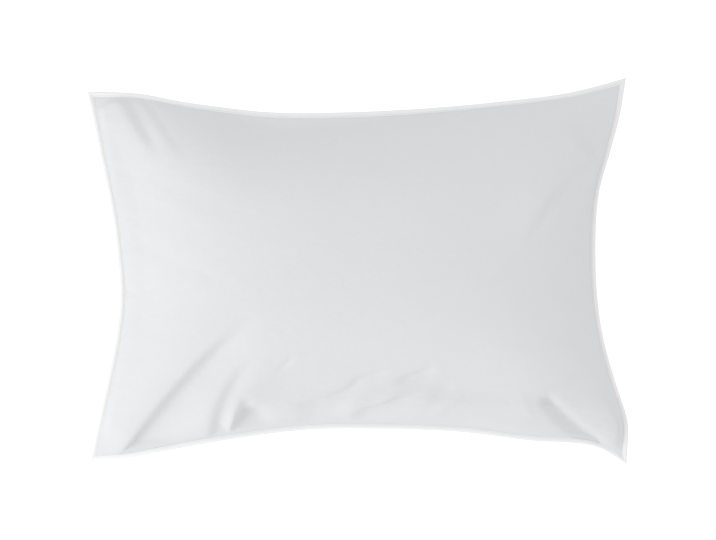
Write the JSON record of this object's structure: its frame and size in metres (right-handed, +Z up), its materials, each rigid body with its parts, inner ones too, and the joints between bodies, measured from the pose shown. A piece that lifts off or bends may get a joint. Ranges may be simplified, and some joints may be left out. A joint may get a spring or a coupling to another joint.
{
  "type": "pillow protector",
  "caption": "Rectangular cloth pillow protector filled out by its pillow, lying on its back, with drawn-in sides, soft corner folds and a narrow sewn edge all round.",
  "frame": {"origin": "on the surface the pillow lies on, under the middle of its outline", "axes": "+X along the length, +Y across the width, +Z up out of the face panel"},
  "size_m": [0.6926, 0.495, 0.1635],
  "materials": {
    "panel_cloth": "matte fine plain-woven white cloth",
    "edge_cloth": "matte white cloth, folded, pressed and stitched flat"
  },
  "bodies": {
    "root": {"filled_cover": "panel_cloth", "sewn_edge": "edge_cloth"}
  },
  "joints": []
}
